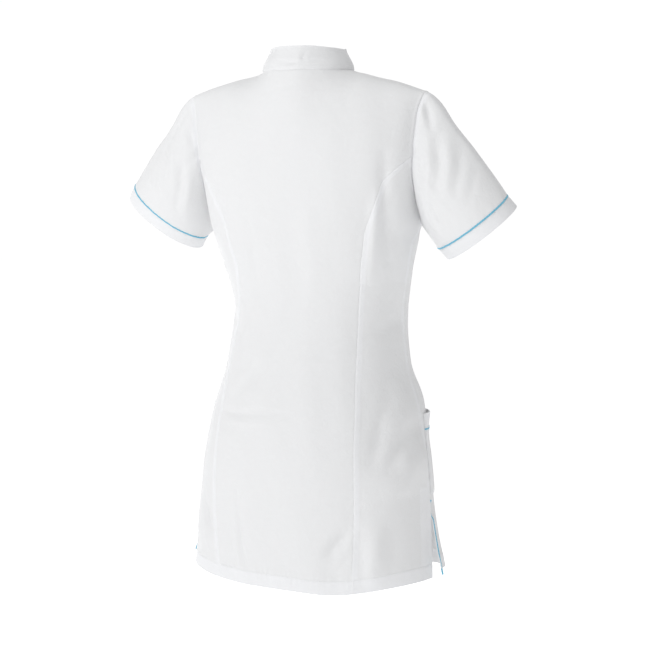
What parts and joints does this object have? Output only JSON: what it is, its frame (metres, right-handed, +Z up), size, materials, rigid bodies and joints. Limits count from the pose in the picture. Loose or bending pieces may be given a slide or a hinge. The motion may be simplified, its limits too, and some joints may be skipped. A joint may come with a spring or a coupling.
{
  "type": "medical tunic",
  "caption": "Short-sleeved fitted medical tunic with a stand collar, princess seams, piped hip pockets, piped sleeve bands and side vents, in its worn hollow form.",
  "frame": {"origin": "middle of the neck, level with the shoulder seams' inner ends", "axes": "+Z up, +Y towards the garment's back, +X towards the wearer's left"},
  "size_m": [0.6215, 0.2321, 0.7657],
  "materials": {
    "back_centre": "white plain-weave cotton and polyester cloth",
    "back_side_left": "white plain-weave cotton and polyester cloth",
    "back_side_right": "white plain-weave cotton and polyester cloth",
    "front_centre_left": "white plain-weave cotton and polyester cloth",
    "front_centre_right": "white plain-weave cotton and polyester cloth",
    "front_side_left": "white plain-weave cotton and polyester cloth",
    "front_side_right": "white plain-weave cotton and polyester cloth",
    "collar": "white plain-weave cotton and polyester cloth, interfaced",
    "sleeve_left": "white plain-weave cotton and polyester cloth",
    "sleeve_right": "white plain-weave cotton and polyester cloth",
    "sleeve_band_left": "white plain-weave cotton and polyester cloth",
    "sleeve_band_right": "white plain-weave cotton and polyester cloth",
    "sleeve_piping_left": "sky-blue corded piping",
    "sleeve_piping_right": "sky-blue corded piping",
    "pocket_left": "white plain-weave cotton and polyester cloth",
    "pocket_right": "white plain-weave cotton and polyester cloth",
    "pocket_band_left": "white plain-weave cotton and polyester cloth",
    "pocket_band_right": "white plain-weave cotton and polyester cloth",
    "pocket_piping_left": "sky-blue corded piping",
    "pocket_piping_right": "sky-blue corded piping",
    "vent_piping_left": "sky-blue corded piping",
    "vent_piping_right": "sky-blue corded piping"
  },
  "bodies": {
    "root": {"back_centre": "back_centre", "back_side_left": "back_side_left", "back_side_right": "back_side_right", "front_centre_left": "front_centre_left", "front_centre_right": "front_centre_right", "front_side_left": "front_side_left", "front_side_right": "front_side_right", "collar": "collar", "sleeve_left": "sleeve_left", "sleeve_right": "sleeve_right", "sleeve_band_left": "sleeve_band_left", "sleeve_band_right": "sleeve_band_right", "sleeve_piping_left": "sleeve_piping_left", "sleeve_piping_right": "sleeve_piping_right", "pocket_left": "pocket_left", "pocket_right": "pocket_right", "pocket_band_left": "pocket_band_left", "pocket_band_right": "pocket_band_right", "pocket_piping_left": "pocket_piping_left", "pocket_piping_right": "pocket_piping_right", "vent_piping_left": "vent_piping_left", "vent_piping_right": "vent_piping_right"}
  },
  "joints": []
}
